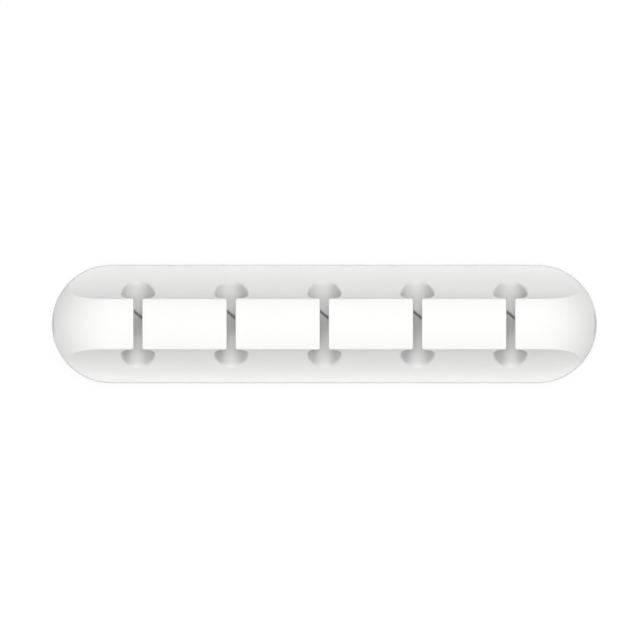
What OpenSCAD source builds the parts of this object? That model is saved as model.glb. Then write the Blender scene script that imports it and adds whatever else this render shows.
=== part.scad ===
// Adhesive cable clip: one soft moulded strip with a row of snap-in cable channels,
// and the double-sided foam pad that sticks it to a desk or a wall.
// The strip runs along X, each cable lies along Y, and Z points away from the surface
// that the pad is stuck to. The origin is the middle of the pad's sticky underside.

/* [Body] */
// Length of the strip, tip to tip
body_l = 129; // [120:1:160]
// Width of the strip across its foot
body_w = 28; // [24:0.5:36]
// Height of the moulding alone, from its foot to the top of its ridge
body_h = 14.6; // [13:0.2:20]
// Height of the foot's upright edge along the sides
edge_h = 3; // [2.5:0.1:5]
// Draft of that edge, so that the moulding leaves its mould (degrees)
edge_draft = 3; // [1:0.5:5]

/* [Ridge and slopes] */
// Width of the ridge, from one hollow slope to the other
ridge_w = 11.7; // [8:0.1:14]
// Steepness of the hollow slopes where they leave the ridge (degrees)
slope_tilt = 87; // [75:1:88]

/* [Ends] */
// Height of the upright edge at each tip, where the round end comes down to it
tip_h = 5.6; // [4:0.1:9]

/* [Cable channels] */
// Number of channels in the row
channel_n = 5; // [1:1:5]
// Distance between neighbouring channels
channel_pitch = 22; // [16:0.1:24]
// Radius of the round bore that holds the cable
bore_r = 3.8; // [2:0.1:4]
// Thickness of the lips above the bore, along the middle of the ridge
lip_t = 1.7; // [1:0.1:2.5]
// Width of the slit that the cable is pressed through
slit_w = 2; // [1:0.1:3]

/* [Adhesive pad] */
// Thickness of the foam pad
pad_t = 0.8; // [0.6:0.1:2]
// How far the pad stands proud of the foot
pad_proud = 0.4; // [0.2:0.1:0.5]
// Width of the bare rim between the pad's recess and the edge of the foot
rim_w = 1.5; // [1:0.1:3]
// Gap between the pad and the wall of its recess
pad_gap = 0.3; // [0.1:0.1:0.6]

/* [Hidden] */

// How far a cut runs past the surface that it opens
over = 1;
// Facets of a full circle
round_fn = 96;

foot_r = body_w / 2;
end_x = body_l / 2 - foot_r;
foot_z = pad_proud;
top_z = foot_z + body_h;

// Height of the bore's centre line, the same for every channel
bore_z = top_z - lip_t - bore_r;

// The recess and the pad are the foot's own outline, drawn in
recess_r = foot_r - rim_w;
recess_h = pad_t - pad_proud;
pad_r = recess_r - pad_gap;

// The hollow slope is an arc from the ridge's edge to the top of the foot's edge
slope_in = body_w / 2 - ridge_w / 2;
slope_drop = body_h - edge_h;
slope_chord = norm([slope_in, slope_drop]);
slope_r = slope_chord / (2 * sin(slope_tilt - atan2(slope_drop, slope_in)));
slope_y = ridge_w / 2 + slope_r * sin(slope_tilt);
slope_z = top_z + slope_r * cos(slope_tilt);

// The crown is a ball at each end and a round bar between them. Its radius takes it from
// the top, over the middle of the foot's round end, down to the top of the tip's edge.
crown_drop = body_h - tip_h;
crown_r = (foot_r * foot_r + crown_drop * crown_drop) / (2 * crown_drop);
crown_z = top_z - crown_r;

// Turns a drawing into a bar along X, its drawn x along Y and its drawn y along Z
module along_x(length) {
    translate([-length / 2, 0, 0])
        rotate([90, 0, 90])
            linear_extrude(length)
                children();
}

// A flat slab with round ends
module stadium(r, z, h) {
    for (side = [-1, 1])
        translate([side * end_x, 0, z])
            cylinder(r = r, h = h, $fn = round_fn);
    translate([-end_x, -r, z])
        cube([2 * end_x, 2 * r, h]);
}

// The outline of the foot, drawn in towards the top by the draft of its edge
module drafted_foot() {
    top_r = foot_r - body_h * tan(edge_draft);
    for (side = [-1, 1])
        translate([side * end_x, 0, foot_z])
            cylinder(r1 = foot_r, r2 = top_r, h = body_h, $fn = round_fn);
    along_x(2 * end_x)
        polygon([[-foot_r, foot_z], [foot_r, foot_z], [top_r, top_z], [-top_r, top_z]]);
}

// Cross-section of the strip: a block with a hollow arc taken out of each side
module ridge_section() {
    difference() {
        translate([-foot_r, foot_z])
            square([body_w, body_h]);
        for (side = [-1, 1])
            translate([side * slope_y, slope_z])
                circle(r = slope_r, $fn = round_fn);
    }
}

// The crowned block that the foot's outline and the slopes are cut from
module crowned_block() {
    for (turn = [0, 180])
        rotate([0, 0, turn])
            translate([end_x, 0, crown_z])
                intersection() {
                    sphere(r = crown_r, $fn = round_fn);
                    translate([0, -crown_r, -crown_r])
                        cube([crown_r, 2 * crown_r, 2 * crown_r]);
                }
    along_x(2 * end_x)
        translate([0, crown_z])
            circle(r = crown_r, $fn = round_fn);
    stadium(foot_r + over, foot_z, tip_h);
}

// One cable channel: a round bore right across the strip, with a slit up to the ridge
module channel() {
    rotate([90, 0, 0])
        cylinder(r = bore_r, h = body_w + 2 * over, center = true, $fn = round_fn);
    translate([-slit_w / 2, -body_w / 2, 0])
        cube([slit_w, body_w, top_z - bore_z + over]);
}

// The soft moulding in one piece
module clip_body() {
    color([0.93, 0.93, 0.92])
        difference() {
            intersection() {
                drafted_foot();
                crowned_block();
                along_x(body_l)
                    ridge_section();
            }
            for (i = [0 : channel_n - 1])
                translate([(i - (channel_n - 1) / 2) * channel_pitch, 0, bore_z])
                    channel();
            stadium(recess_r, foot_z - over, recess_h + over);
        }
}

// The foam pad, sticky on both faces, seated in the recess under the foot
module adhesive_pad() {
    color([0.86, 0.87, 0.86])
        stadium(pad_r, 0, pad_t);
}

clip_body();
adhesive_pad();
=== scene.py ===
"""Dresses the adhesive cable clip: the soft white moulding, its foam pad and a plain studio."""

import math

import bmesh
import bpy
import numpy as np
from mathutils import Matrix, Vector


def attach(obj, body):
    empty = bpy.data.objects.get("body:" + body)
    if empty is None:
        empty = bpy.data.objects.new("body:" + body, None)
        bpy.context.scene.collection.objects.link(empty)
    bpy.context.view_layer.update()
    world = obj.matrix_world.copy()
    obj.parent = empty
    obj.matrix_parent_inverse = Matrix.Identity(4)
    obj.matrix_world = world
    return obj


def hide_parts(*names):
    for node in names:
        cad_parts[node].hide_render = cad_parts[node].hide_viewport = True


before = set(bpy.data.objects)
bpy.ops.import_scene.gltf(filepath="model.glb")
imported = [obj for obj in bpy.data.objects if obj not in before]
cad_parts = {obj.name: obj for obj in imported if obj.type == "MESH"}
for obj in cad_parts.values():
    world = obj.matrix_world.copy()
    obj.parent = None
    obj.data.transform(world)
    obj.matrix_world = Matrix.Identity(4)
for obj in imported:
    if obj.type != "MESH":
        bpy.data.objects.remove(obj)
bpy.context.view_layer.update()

bl_info = {
    "name": "Adhesive cable clip",
    "version": (1, 0, 0),
    "blender": (4, 5, 0),
    "location": "3D View > Sidebar > Cable clip",
    "description": "Builds the looks of a soft stick-on cable clip around its packed frame",
    "category": "Add Mesh",
}

MM = 0.001

# Sizes of the moulding in millimetres, the same as in its CAD model
BODY_L, BODY_W, BODY_H = 129.0, 28.0, 14.6
EDGE_H, EDGE_DRAFT = 3.0, math.radians(3)
RIDGE_W, SLOPE_TILT = 11.7, math.radians(87)
TIP_H = 5.6
CHANNEL_N, CHANNEL_PITCH = 5, 22.0
BORE_R, LIP_T, SLIT_W = 3.8, 1.7, 2.0
FOOT_Z = 0.4

# What follows from them: the straight part, the bores, the hollow slopes and the crown
FOOT_R = BODY_W / 2
END_X = BODY_L / 2 - FOOT_R
TOP_Z = FOOT_Z + BODY_H
BORE_Z = TOP_Z - LIP_T - BORE_R
SLOPE_IN = FOOT_R - RIDGE_W / 2
SLOPE_DROP = BODY_H - EDGE_H
SLOPE_LEAN = SLOPE_TILT - math.atan2(SLOPE_DROP, SLOPE_IN)
SLOPE_R = math.hypot(SLOPE_IN, SLOPE_DROP) / (2 * math.sin(SLOPE_LEAN))
SLOPE_Y = RIDGE_W / 2 + SLOPE_R * math.sin(SLOPE_TILT)
SLOPE_Z = TOP_Z + SLOPE_R * math.cos(SLOPE_TILT)
CROWN_DROP = BODY_H - TIP_H
CROWN_R = (FOOT_R ** 2 + CROWN_DROP ** 2) / (2 * CROWN_DROP)
CROWN_Z = TOP_Z - CROWN_R

# The foot's copy ends at the first height, and the dressed upper part starts at the second
FOOT_TOP, UPPER_FROM = 1.6, 2.0

# How often the even mesh is smoothed, before and after its edges are split, and how many
# steps take its points back to the surfaces each time
FIRST_ROUNDS, LAST_ROUNDS, LAY_STEPS = 5, 6, 3
# Reach of an edge, in steps of the mesh, and the probe that finds the way a surface faces
EDGE_REACH, PROBE = 1.5, 0.004

# Shades of the cloudy skin, the channels' line and the foam's cells, against their own colour
CLOUD_SHADE, LINE_SHADE, CELL_SHADE = 0.985, 0.28, 0.82

# Sockets of a colour mix node: its factor, its two colours and its result
MIX_FACTOR, MIX_LOW, MIX_HIGH, MIX_RESULT = 0, 6, 7, 2


class MouldingSettings(bpy.types.PropertyGroup):
    """Roundings and finish of the soft moulding."""

    ridge_round: bpy.props.FloatProperty(
        name="Ridge rounding",
        description="Radius of the edge between the crowned top and the hollow slopes",
        default=0.22 * MM,
        subtype="DISTANCE",
        unit="LENGTH",
    )
    rim_round: bpy.props.FloatProperty(
        name="Rim rounding",
        description="Radius of the edge round the top of the foot's upright wall",
        default=0.4 * MM,
        subtype="DISTANCE",
        unit="LENGTH",
    )
    mouth_round: bpy.props.FloatProperty(
        name="Mouth rounding",
        description="Radius of the edge where the bores and slits open in the slopes",
        default=0.45 * MM,
        subtype="DISTANCE",
        unit="LENGTH",
    )
    lip_round: bpy.props.FloatProperty(
        name="Lip rounding",
        description="Radius of the edges of the lips, at the top and inside the bore",
        default=0.26 * MM,
        subtype="DISTANCE",
        unit="LENGTH",
    )
    foot_round: bpy.props.FloatProperty(
        name="Foot rounding",
        description="Width of the small rounding along the underside's edges",
        default=0.12 * MM,
        subtype="DISTANCE",
        unit="LENGTH",
    )
    mesh_step: bpy.props.FloatProperty(
        name="Mesh step",
        description="Size of one face of the even mesh that the surfaces are laid on",
        default=0.4 * MM,
        subtype="DISTANCE",
        unit="LENGTH",
    )
    tint: bpy.props.FloatVectorProperty(
        name="Silicone colour",
        description="Colour of the white silicone",
        default=(0.62, 0.62, 0.616),
        size=3,
        min=0.0,
        max=1.0,
        subtype="COLOR",
    )
    roughness: bpy.props.FloatProperty(
        name="Roughness",
        description="How matt the silicone skin is",
        default=0.48,
        min=0.0,
        max=1.0,
        subtype="FACTOR",
    )
    sheen: bpy.props.FloatProperty(
        name="Sheen",
        description="How much the skin mirrors its surroundings",
        default=0.15,
        min=0.0,
        max=1.0,
        subtype="FACTOR",
    )
    # Painted shade: how dark the colour inside the bores and slits is made, to stand for the shade
    # there
    recess_shade_level: bpy.props.FloatProperty(
        name="Painted recess shade",
        description="Brightness of the dusty channels against the clean skin",
        default=0.84,
        min=0.0,
        max=1.0,
        subtype="FACTOR",
    )


class PadSettings(bpy.types.PropertyGroup):
    """Finish of the double-sided foam pad."""

    edge_round: bpy.props.FloatProperty(
        name="Cut edge rounding",
        description="Width of the soft rounding along the pad's cut edge",
        default=0.08 * MM,
        subtype="DISTANCE",
        unit="LENGTH",
    )
    tint: bpy.props.FloatVectorProperty(
        name="Foam colour",
        description="Colour of the foam",
        default=(0.74, 0.75, 0.73),
        size=3,
        min=0.0,
        max=1.0,
        subtype="COLOR",
    )
    cell_size: bpy.props.FloatProperty(
        name="Foam cell",
        description="Size of one cell of the foam",
        default=0.35 * MM,
        subtype="DISTANCE",
        unit="LENGTH",
    )


class StageSettings(bpy.types.PropertyGroup):
    """Camera, lamps and floor."""

    frame_width: bpy.props.FloatProperty(
        name="Frame width",
        description="Width of what the camera sees at the foot of the clip",
        default=151.5 * MM,
        subtype="DISTANCE",
        unit="LENGTH",
    )
    camera_height: bpy.props.FloatProperty(
        name="Camera height",
        description="Height of the camera, which looks straight down through a long lens",
        default=5.0,
        subtype="DISTANCE",
        unit="LENGTH",
    )
    camera_offset: bpy.props.FloatVectorProperty(
        name="Camera offset",
        description="How far the middle of the frame lies from the middle of the clip",
        default=(-1.02 * MM, 0.95 * MM),
        size=2,
        subtype="XYZ",
        unit="LENGTH",
    )
    sky: bpy.props.FloatProperty(
        name="Sky strength",
        description="Strength of the even light from all round",
        default=0.02,
        min=0.0,
    )
    lamp_distance: bpy.props.FloatProperty(
        name="Lamp distance",
        description="How far each soft lamp stands from the middle of the clip",
        default=1.2,
        subtype="DISTANCE",
        unit="LENGTH",
    )
    lamp_size: bpy.props.FloatProperty(
        name="Lamp size",
        description="Side of each square soft lamp",
        default=0.4,
        subtype="DISTANCE",
        unit="LENGTH",
    )


def new_group(name, inputs, outputs):
    """Starts a shader node group and returns it with its input and output nodes."""
    group = bpy.data.node_groups.new(name, "ShaderNodeTree")
    for label, kind, value in inputs:
        socket = group.interface.new_socket(label, in_out="INPUT", socket_type=kind)
        if value is not None:
            socket.default_value = value
    for label, kind in outputs:
        group.interface.new_socket(label, in_out="OUTPUT", socket_type=kind)
    return group, group.nodes.new("NodeGroupInput"), group.nodes.new("NodeGroupOutput")


def soft_skin_group():
    """Fine moulded grain and a faint cloudiness, as masks, from object coordinates."""
    group, inside, outside = new_group(
        "soft_skin",
        [
            ("Coordinates", "NodeSocketVector", None),
            ("Grain Size", "NodeSocketFloat", 0.25 * MM),
            ("Cloud Size", "NodeSocketFloat", 18 * MM),
        ],
        [("Grain", "NodeSocketFloat"), ("Cloud", "NodeSocketFloat")],
    )
    for label, size, detail in (("Grain", "Grain Size", 3.0), ("Cloud", "Cloud Size", 2.0)):
        scale = group.nodes.new("ShaderNodeMath")
        scale.operation = "DIVIDE"
        scale.inputs[0].default_value = 1.0
        group.links.new(inside.outputs[size], scale.inputs[1])
        noise = group.nodes.new("ShaderNodeTexNoise")
        noise.inputs["Detail"].default_value = detail
        group.links.new(inside.outputs["Coordinates"], noise.inputs["Vector"])
        group.links.new(scale.outputs[0], noise.inputs["Scale"])
        group.links.new(noise.outputs["Fac"], outside.inputs[label])
    return group


def value_of(tree, operation, *values):
    """A math node fed by sockets or plain numbers; returns its result socket."""
    node = tree.nodes.new("ShaderNodeMath")
    node.operation = operation
    for socket, value in zip(node.inputs, values):
        if isinstance(value, (int, float)):
            socket.default_value = value
        else:
            tree.links.new(value, socket)
    return node.outputs["Value"]


def faded(tree, value, whole, none):
    """A mask that is 1 at the first value and fades to 0 at the second."""
    ramp = tree.nodes.new("ShaderNodeMapRange")
    ramp.interpolation_type = "SMOOTHSTEP"
    ramp.inputs["From Min"].default_value = none
    ramp.inputs["From Max"].default_value = whole
    tree.links.new(value, ramp.inputs["Value"])
    return ramp.outputs["Result"]


def channel_shade_and_line_group():
    """Masks inside the channels: painted shade deep in the bores and slits, and the fine line on the
    floor.
    """
    group, inside, outside = new_group(
        "channel_shade_and_line",
        [
            ("Coordinates", "NodeSocketVector", None),
            ("Slant", "NodeSocketFloat", 0.82),
            ("Middle", "NodeSocketFloat", 2.2 * MM),
        ],
        [("Painted Recess", "NodeSocketFloat"), ("Line", "NodeSocketFloat")],
    )
    split = group.nodes.new("ShaderNodeSeparateXYZ")
    group.links.new(inside.outputs["Coordinates"], split.inputs["Vector"])
    half_pitch = CHANNEL_PITCH * MM / 2
    off = value_of(group, "WRAP", split.outputs["X"], half_pitch, -half_pitch)
    aside = value_of(group, "ABSOLUTE", off)
    level = value_of(group, "SUBTRACT", split.outputs["Z"], BORE_Z * MM)
    squares = value_of(
        group, "ADD", value_of(group, "POWER", aside, 2.0), value_of(group, "MULTIPLY", level, level)
    )
    radius = value_of(group, "SQRT", squares)
    in_bore = faded(group, radius, (BORE_R + 0.05) * MM, (BORE_R + 0.5) * MM)
    in_slit = value_of(
        group,
        "MULTIPLY",
        faded(group, aside, (SLIT_W / 2 + 0.02) * MM, (SLIT_W / 2 + 0.2) * MM),
        faded(group, level, 1.0 * MM, 0.0),
    )
    reach = (CHANNEL_N - 0.5) * half_pitch
    in_row = faded(group, value_of(group, "ABSOLUTE", split.outputs["X"]), reach, reach + 1.0 * MM)
    deep = faded(group, value_of(group, "ABSOLUTE", split.outputs["Y"]), 8.4 * MM, 10.4 * MM)
    deep_bore = value_of(group, "MULTIPLY", in_bore, deep)
    # Painted shade: the bores away from their mouths and the slits are darkened, where little light
    # reaches
    recess_shade = value_of(group, "MULTIPLY", value_of(group, "MAXIMUM", deep_bore, in_slit), in_row)
    group.links.new(recess_shade, outside.inputs["Painted Recess"])
    drop = value_of(group, "MULTIPLY", off, inside.outputs["Slant"])
    along = value_of(group, "SUBTRACT", inside.outputs["Middle"], drop)
    across = value_of(group, "ABSOLUTE", value_of(group, "SUBTRACT", split.outputs["Y"], along))
    thin = faded(group, across, 0.2 * MM, 0.65 * MM)
    low = faded(group, level, -2.5 * MM, -1.5 * MM)
    line = value_of(group, "MULTIPLY", value_of(group, "MULTIPLY", thin, low), recess_shade)
    group.links.new(line, outside.inputs["Line"])
    return group


def new_material(name):
    """A material with its principled shader and a texture coordinate node."""
    material = bpy.data.materials.new(name)
    material.use_nodes = True
    nodes = material.node_tree.nodes
    nodes.clear()
    output = nodes.new("ShaderNodeOutputMaterial")
    shader = nodes.new("ShaderNodeBsdfPrincipled")
    material.node_tree.links.new(shader.outputs["BSDF"], output.inputs["Surface"])
    return material, shader, nodes.new("ShaderNodeTexCoord")


def shade_of(material, factor, low, high):
    """A colour between two, plain or from a socket, by a mask; returns its output socket."""
    mix = material.node_tree.nodes.new("ShaderNodeMix")
    mix.data_type = "RGBA"
    material.node_tree.links.new(factor, mix.inputs[MIX_FACTOR])
    for socket, colour in ((mix.inputs[MIX_LOW], low), (mix.inputs[MIX_HIGH], high)):
        if isinstance(colour, tuple):
            socket.default_value = (*colour, 1.0)
        else:
            material.node_tree.links.new(colour, socket)
    return mix.outputs[MIX_RESULT]


def bump_of(material, height, distance, strength):
    """A bump node fed by a height socket; returns its normal socket."""
    bump = material.node_tree.nodes.new("ShaderNodeBump")
    bump.inputs["Distance"].default_value = distance
    bump.inputs["Strength"].default_value = strength
    material.node_tree.links.new(height, bump.inputs["Height"])
    return bump.outputs["Normal"]


def silicone_material(settings):
    """White silicone with a fine matt skin, painted shade inside its channels and a fine dark line
    on their floors.
    """
    material, shader, coords = new_material("white_silicone")
    tree = material.node_tree
    skin = tree.nodes.new("ShaderNodeGroup")
    skin.node_tree = bpy.data.node_groups.get("soft_skin") or soft_skin_group()
    tree.links.new(coords.outputs["Object"], skin.inputs["Coordinates"])
    pale = tuple(settings.tint)
    clouded = tuple(c * CLOUD_SHADE for c in pale)
    unshaded = shade_of(material, skin.outputs["Cloud"], clouded, pale)
    channel_masks = tree.nodes.new("ShaderNodeGroup")
    channel_masks.node_tree = bpy.data.node_groups.get("channel_shade_and_line") or channel_shade_and_line_group()
    tree.links.new(coords.outputs["Object"], channel_masks.inputs["Coordinates"])
    # Painted shade: a darker copy of the colour for the inside of the channels
    shaded = tuple(c * settings.recess_shade_level for c in pale)
    lined = tuple(c * LINE_SHADE for c in pale)
    with_recess_shade = shade_of(material, channel_masks.outputs["Painted Recess"], unshaded, shaded)
    colour = shade_of(material, channel_masks.outputs["Line"], with_recess_shade, lined)
    tree.links.new(colour, shader.inputs["Base Color"])
    relief = bump_of(material, skin.outputs["Grain"], 0.01 * MM, 0.35)
    tree.links.new(relief, shader.inputs["Normal"])
    shader.inputs["Roughness"].default_value = settings.roughness
    shader.inputs["IOR"].default_value = 1.41
    shader.inputs["Specular IOR Level"].default_value = settings.sheen
    return material


def foam_material(settings):
    """Pale foam with open cells along its cut edge and a tacky sheen."""
    material, shader, coords = new_material("adhesive_foam")
    tree = material.node_tree
    cells = tree.nodes.new("ShaderNodeTexVoronoi")
    cells.inputs["Scale"].default_value = 1.0 / settings.cell_size
    tree.links.new(coords.outputs["Object"], cells.inputs["Vector"])
    pale = tuple(settings.tint)
    deep = tuple(c * CELL_SHADE for c in pale)
    colour = shade_of(material, cells.outputs["Distance"], deep, pale)
    tree.links.new(colour, shader.inputs["Base Color"])
    relief = bump_of(material, cells.outputs["Distance"], 0.05 * MM, 0.5)
    tree.links.new(relief, shader.inputs["Normal"])
    shader.inputs["Roughness"].default_value = 0.35
    return material


def merged_copy(node_name):
    """The CAD node's mesh as a bmesh, with its doubles merged and flat faces joined."""
    mesh = bmesh.new()
    mesh.from_mesh(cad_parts[node_name].data)
    bmesh.ops.remove_doubles(mesh, verts=mesh.verts, dist=0.002 * MM)
    bmesh.ops.dissolve_limit(
        mesh,
        angle_limit=math.radians(0.4),
        verts=mesh.verts,
        edges=mesh.edges,
    )
    return mesh


def sharp_edges(mesh, least_angle):
    """The edges whose faces turn by more than that angle."""
    return [
        e for e in mesh.edges
        if len(e.link_faces) == 2 and e.calc_face_angle(0.0) > least_angle
    ]


def round_edges(mesh, edges, width, segments):
    """Rounds those edges."""
    return bmesh.ops.bevel(
        mesh,
        geom=edges,
        offset=width,
        offset_type="OFFSET",
        affect="EDGES",
        segments=segments,
        profile=0.5,
        material=-1,
        loop_slide=False,
        clamp_overlap=True,
        miter_outer="SHARP",
        miter_inner="SHARP",
    )


def sized(vectors):
    """The length and the direction of each vector."""
    length = np.linalg.norm(vectors, axis=1)
    return length, vectors / np.maximum(length, 1e-9)[:, None]


def crown_at(points, beyond):
    """How far each point lies above the crowned top, and the way it faces."""
    length, way = sized(np.column_stack([beyond, points[:, 1], points[:, 2] - CROWN_Z]))
    return length - CROWN_R, way


def slope_at(points):
    """The same for the hollow slopes."""
    across = points[:, 1] - np.where(points[:, 1] < 0, -SLOPE_Y, SLOPE_Y)
    nought = np.zeros(len(points))
    length, way = sized(np.column_stack([nought, across, points[:, 2] - SLOPE_Z]))
    return SLOPE_R - length, -way


def wall_at(points, beyond):
    """The same for the foot's drafted wall."""
    length, way = sized(np.column_stack([beyond, points[:, 1], np.zeros(len(points))]))
    rise = points[:, 2] - FOOT_Z
    out = (length - FOOT_R) * math.cos(EDGE_DRAFT) + rise * math.sin(EDGE_DRAFT)
    return out, way * math.cos(EDGE_DRAFT) + np.array([0.0, 0.0, math.sin(EDGE_DRAFT)])


def bore_at(points, off):
    """The same for the round bore of the nearest channel."""
    nought = np.zeros(len(points))
    length, way = sized(np.column_stack([off, nought, points[:, 2] - BORE_Z]))
    return BORE_R - length, -way


def slit_at(points, off):
    """The same for that channel's slit, which has no effect below the bore's centre."""
    out = np.where(points[:, 2] > BORE_Z, SLIT_W / 2 - np.abs(off), -BORE_R)
    nought = np.zeros(len(points))
    return out, np.column_stack([np.where(off < 0, 1.0, -1.0), nought, nought])


def rounded(first, second, radius):
    """Joins two surfaces at an edge of that radius."""
    (one, one_way), (two, two_way) = first, second
    turn = np.clip(np.sum(one_way * two_way, axis=1), -0.999, 0.999)
    u = np.maximum(one + radius, 0.0)
    v = np.maximum(two + radius, 0.0)
    on_edge = (u > v * turn) & (v > u * turn)
    past_edge = np.sqrt((u * u + v * v - 2 * u * v * turn) / (1 - turn * turn))
    past = np.where(on_edge, past_edge, np.maximum(u, v))
    sharp = np.maximum(one, two)
    return np.where(sharp > -radius, past - radius, sharp)


def surfaces_at(points):
    """The moulding's five kinds of surface, each with its distance and direction."""
    beyond = np.sign(points[:, 0]) * np.maximum(np.abs(points[:, 0]) - END_X, 0.0)
    reach = (CHANNEL_N - 1) / 2
    nearest = np.clip(np.round(points[:, 0] / CHANNEL_PITCH), -reach, reach)
    off = points[:, 0] - nearest * CHANNEL_PITCH
    return {
        "crown": crown_at(points, beyond),
        "slope": slope_at(points),
        "wall": wall_at(points, beyond),
        "bore": bore_at(points, off),
        "slit": slit_at(points, off),
    }


def height_over(points, settings):
    """How far each point lies outside the moulding with its edges rounded."""
    at = surfaces_at(points)
    edges = (
        ("crown", "slope", settings.ridge_round),
        ("crown", "wall", settings.rim_round),
        ("slope", "wall", settings.rim_round),
        ("slope", "bore", settings.mouth_round),
        ("slope", "slit", settings.mouth_round),
        ("crown", "slit", settings.lip_round),
        ("bore", "slit", settings.lip_round),
    )
    over = FOOT_Z - points[:, 2]
    for first, second, radius in edges:
        over = np.maximum(over, rounded(at[first], at[second], radius / MM))
    return over


def facing(points, settings):
    """The way the rounded surface faces at each point."""
    rise = []
    for axis in np.eye(3) * PROBE:
        rise.append(height_over(points + axis, settings) - height_over(points - axis, settings))
    return sized(np.column_stack(rise))[1]


def near_an_edge(points, reach):
    """True for each point that two of the surfaces pass within reach of."""
    distances = np.array([distance for distance, way in surfaces_at(points).values()])
    return np.sort(distances, axis=0)[-2] > -reach


def mesh_points(data):
    """The points of a mesh, in millimetres."""
    flat = np.empty(len(data.vertices) * 3)
    data.vertices.foreach_get("co", flat)
    return flat.reshape(-1, 3) / MM


def lay_on_surfaces(data, settings, rounds):
    """Evens out a mesh and lays its points on the rounded surfaces, several times over."""
    points = mesh_points(data)
    ends = np.empty(len(data.edges) * 2, dtype=np.int32)
    data.edges.foreach_get("vertices", ends)
    ends = np.concatenate([ends.reshape(-1, 2), ends.reshape(-1, 2)[:, ::-1]])
    count = np.bincount(ends[:, 0], minlength=len(points))[:, None]
    for _ in range(rounds):
        middle = np.zeros_like(points)
        np.add.at(middle, ends[:, 0], points[ends[:, 1]])
        points = (points + middle / count) / 2
        for _ in range(LAY_STEPS):
            points -= facing(points, settings) * height_over(points, settings)[:, None]
    data.vertices.foreach_set("co", (points * MM).ravel())
    data.update()


def even_mesh(mesh, step):
    """An even mesh of quads round the solid in a bmesh."""
    data = bpy.data.meshes.new("even")
    mesh.to_mesh(data)
    solid = bpy.data.objects.new("even", data)
    bpy.context.scene.collection.objects.link(solid)
    remesh = solid.modifiers.new("even", "REMESH")
    remesh.mode = "VOXEL"
    remesh.voxel_size = step
    ready = solid.evaluated_get(bpy.context.evaluated_depsgraph_get())
    even = bpy.data.meshes.new_from_object(ready)
    bpy.data.objects.remove(solid)
    bpy.data.meshes.remove(data)
    return even


def split_near_edges(data, reach):
    """Halves the faces of a mesh that lie along the moulding's edges."""
    close = near_an_edge(mesh_points(data), reach)
    mesh = bmesh.new()
    mesh.from_mesh(data)
    lines = [e for e in mesh.edges if close[e.verts[0].index] and close[e.verts[1].index]]
    bmesh.ops.subdivide_edges(mesh, edges=lines, cuts=1, use_grid_fill=True)
    mesh.to_mesh(data)
    mesh.free()


def cut_level(mesh, height, keep_below):
    """Cuts a bmesh level at a height and keeps one side of it."""
    bmesh.ops.bisect_plane(
        mesh,
        geom=mesh.verts[:] + mesh.edges[:] + mesh.faces[:],
        plane_co=(0.0, 0.0, height * MM),
        plane_no=(0.0, 0.0, 1.0),
        clear_outer=keep_below,
        clear_inner=not keep_below,
    )


def moulding_mesh(settings):
    """The whole moulding: the foot's own copy below, and the even mesh above it."""
    foot = merged_copy("clip_body")
    upper = even_mesh(foot, settings.mesh_step)
    lay_on_surfaces(upper, settings, FIRST_ROUNDS)
    split_near_edges(upper, EDGE_REACH * settings.mesh_step / MM)
    lay_on_surfaces(upper, settings, LAST_ROUNDS)
    round_edges(foot, sharp_edges(foot, math.radians(60)), settings.foot_round, 2)
    cut_level(foot, FOOT_TOP, True)
    mesh = bmesh.new()
    mesh.from_mesh(upper)
    bpy.data.meshes.remove(upper)
    cut_level(mesh, UPPER_FROM, False)
    below = bpy.data.meshes.new("below")
    foot.to_mesh(below)
    foot.free()
    mesh.from_mesh(below)
    bpy.data.meshes.remove(below)
    bmesh.ops.bridge_loops(mesh, edges=[e for e in mesh.edges if e.is_boundary])
    bmesh.ops.recalc_face_normals(mesh, faces=mesh.faces)
    return mesh


def face_by_surfaces(data, settings):
    """Gives the upper part's points the true direction of the surface there."""
    points = mesh_points(data)
    way = facing(points, settings)
    way[points[:, 2] < UPPER_FROM - 0.01] = 0.0
    data.normals_split_custom_set_from_vertices(way)


def finish_piece(name, mesh, material, node_name):
    """Turns the bmesh into a piece that stands for a CAD node."""
    if any(not e.is_manifold for e in mesh.edges):
        raise RuntimeError("The mesh isn't closed: " + name)
    data = bpy.data.meshes.new(name)
    for face in mesh.faces:
        face.smooth = True
    mesh.to_mesh(data)
    mesh.free()
    data.materials.append(material)
    data.set_sharp_from_angle(angle=math.radians(35))
    piece = bpy.data.objects.new(name, data)
    bpy.context.scene.collection.objects.link(piece)
    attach(piece, "root")
    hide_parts(node_name)
    return piece


class CABLECLIP_OT_moulding(bpy.types.Operator):
    """Builds the soft moulding with its rounded edges"""

    bl_idname = "cableclip.moulding"
    bl_label = "Soft moulding"

    def execute(self, context):
        settings = context.scene.cableclip_moulding
        mesh = moulding_mesh(settings)
        piece = finish_piece(
            "soft_moulding", mesh, silicone_material(settings), "clip_body"
        )
        face_by_surfaces(piece.data, settings)
        return {"FINISHED"}


class CABLECLIP_OT_pad(bpy.types.Operator):
    """Builds the double-sided foam pad under the foot"""

    bl_idname = "cableclip.pad"
    bl_label = "Foam pad"

    def execute(self, context):
        settings = context.scene.cableclip_pad
        mesh = merged_copy("adhesive_pad")
        round_edges(mesh, sharp_edges(mesh, math.radians(40)), settings.edge_round, 2)
        finish_piece("foam_pad", mesh, foam_material(settings), "adhesive_pad")
        return {"FINISHED"}


# The floor's colour, how much of it the camera sees as plain white, half its side, and how
# far it lies under the pad so that the two faces don't meet
FLOOR_COLOUR, FLOOR_WHITE = (0.74, 0.74, 0.74, 1.0), 0.9
FLOOR_HALF, FLOOR_GAP = 6.0, 0.02 * MM


def seen_directly(tree):
    """1 for rays that come from the camera, a reflection or through glass; else 0."""
    path = tree.nodes.new("ShaderNodeLightPath")
    seen = value_of(tree, "MAXIMUM", path.outputs["Is Camera Ray"], path.outputs["Is Glossy Ray"])
    return value_of(tree, "MAXIMUM", seen, path.outputs["Is Transmission Ray"])


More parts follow.
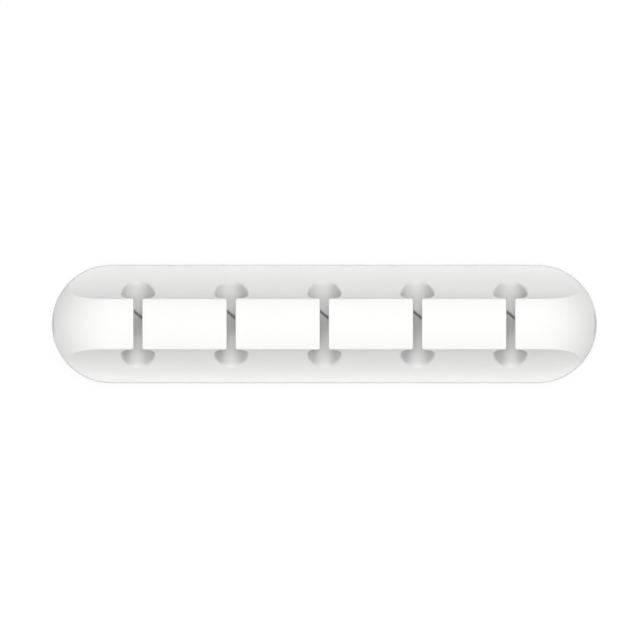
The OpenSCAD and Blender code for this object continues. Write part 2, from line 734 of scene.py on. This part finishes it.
def floor_material():
    """Pale floor that the camera sees as near white, with the clip's soft shadow on it."""
    material = bpy.data.materials.new("pale_floor")
    material.use_nodes = True
    tree = material.node_tree
    tree.nodes.clear()
    output = tree.nodes.new("ShaderNodeOutputMaterial")
    plain = tree.nodes.new("ShaderNodeBsdfDiffuse")
    plain.inputs["Color"].default_value = FLOOR_COLOUR
    white = tree.nodes.new("ShaderNodeEmission")
    white.inputs["Strength"].default_value = 1.0
    share = value_of(tree, "MULTIPLY", seen_directly(tree), FLOOR_WHITE)
    mix = tree.nodes.new("ShaderNodeMixShader")
    tree.links.new(share, mix.inputs["Fac"])
    tree.links.new(plain.outputs["BSDF"], mix.inputs[1])
    tree.links.new(white.outputs["Emission"], mix.inputs[2])
    tree.links.new(mix.outputs["Shader"], output.inputs["Surface"])
    return material


def add_floor():
    """A wide flat floor at the surface that the pad is stuck to."""
    mesh = bmesh.new()
    bmesh.ops.create_grid(mesh, x_segments=2, y_segments=2, size=FLOOR_HALF)
    data = bpy.data.meshes.new("floor")
    mesh.to_mesh(data)
    mesh.free()
    data.materials.append(floor_material())
    floor = bpy.data.objects.new("floor", data)
    floor.location.z = -FLOOR_GAP
    bpy.context.scene.collection.objects.link(floor)


def add_lamp(name, place, size, power):
    """A square soft lamp aimed at the middle of the clip."""
    data = bpy.data.lights.new(name, "AREA")
    data.size = size
    data.energy = power
    lamp = bpy.data.objects.new(name, data)
    lamp.location = place
    lamp.rotation_mode = "QUATERNION"
    lamp.rotation_quaternion = (-Vector(place)).to_track_quat("-Z", "Y")
    bpy.context.scene.collection.objects.link(lamp)
    return lamp


def add_sky(strength):
    """A white backdrop that gives only a little even light."""
    world = bpy.data.worlds.new("studio")
    world.use_nodes = True
    tree = world.node_tree
    background = tree.nodes["Background"]
    background.inputs["Color"].default_value = (1.0, 1.0, 1.0, 1.0)
    level = value_of(tree, "MAXIMUM", seen_directly(tree), strength)
    tree.links.new(level, background.inputs["Strength"])
    bpy.context.scene.world = world


def add_camera(settings):
    """Looks straight down through a long lens, as the photograph does."""
    data = bpy.data.cameras.new("camera")
    data.sensor_width = 36.0
    data.lens = data.sensor_width * settings.camera_height / settings.frame_width
    data.clip_start = 0.05
    data.clip_end = 50.0
    camera = bpy.data.objects.new("camera", data)
    camera.location = (settings.camera_offset[0], settings.camera_offset[1], settings.camera_height)
    bpy.context.scene.collection.objects.link(camera)
    bpy.context.scene.camera = camera


# Name, direction round the clip, height above the floor (both in degrees) and power in watts
LAMPS = (
    ("overhead", 0, 90, 2.4),
    ("right", 0, 50, 3.6),
    ("right_back", 45, 45, 3.7),
    ("back", 90, 65, 6.0),
    ("left_back", 135, 45, 2.4),
    ("left", 180, 45, 1.5),
    ("left_front", 225, 45, 4.9),
    ("front", 270, 45, 3.5),
    ("right_front", 315, 45, 1.5),
)


def add_lamps(settings):
    """A ring of soft lamps round the clip, all aimed at its middle."""
    for name, turn, rise, power in LAMPS:
        turn, rise = math.radians(turn), math.radians(rise)
        flat = math.cos(rise)
        way = Vector((flat * math.cos(turn), flat * math.sin(turn), math.sin(rise)))
        add_lamp(name, way * settings.lamp_distance, settings.lamp_size, power)


class CABLECLIP_OT_stage(bpy.types.Operator):
    """Adds the camera, the lamps and the floor"""

    bl_idname = "cableclip.stage"
    bl_label = "Studio"

    def execute(self, context):
        settings = context.scene.cableclip_stage
        add_camera(settings)
        add_floor()
        add_sky(settings.sky)
        add_lamps(settings)
        context.scene.view_settings.view_transform = "Standard"
        return {"FINISHED"}


class CABLECLIP_PT_panel(bpy.types.Panel):
    """Lists the clip's settings and the steps that build it"""

    bl_idname = "CABLECLIP_PT_panel"
    bl_label = "Adhesive cable clip"
    bl_space_type = "VIEW_3D"
    bl_region_type = "UI"
    bl_category = "Cable clip"

    def draw(self, context):
        for settings, step in STEPS:
            box = self.layout.box()
            group = getattr(context.scene, settings)
            for name in group.__annotations__:
                box.prop(group, name)
            box.operator(step)


STEPS = (
    ("cableclip_moulding", "cableclip.moulding"),
    ("cableclip_pad", "cableclip.pad"),
    ("cableclip_stage", "cableclip.stage"),
)
SETTINGS = {
    "cableclip_moulding": MouldingSettings,
    "cableclip_pad": PadSettings,
    "cableclip_stage": StageSettings,
}
CLASSES = (
    MouldingSettings,
    PadSettings,
    StageSettings,
    CABLECLIP_OT_moulding,
    CABLECLIP_OT_pad,
    CABLECLIP_OT_stage,
    CABLECLIP_PT_panel,
)


def register():
    """Registers the classes and hangs the settings on the scene."""
    for cls in CLASSES:
        bpy.utils.register_class(cls)
    for name, cls in SETTINGS.items():
        setattr(bpy.types.Scene, name, bpy.props.PointerProperty(type=cls))


def unregister():
    """Takes the settings and the classes away again."""
    for name in SETTINGS:
        delattr(bpy.types.Scene, name)
    for cls in reversed(CLASSES):
        bpy.utils.unregister_class(cls)


def main():
    """Builds the dressed model and its studio."""
    register()
    bpy.ops.cableclip.moulding()
    bpy.ops.cableclip.pad()
    bpy.ops.cableclip.stage()


if __name__ == "__main__":
    main()
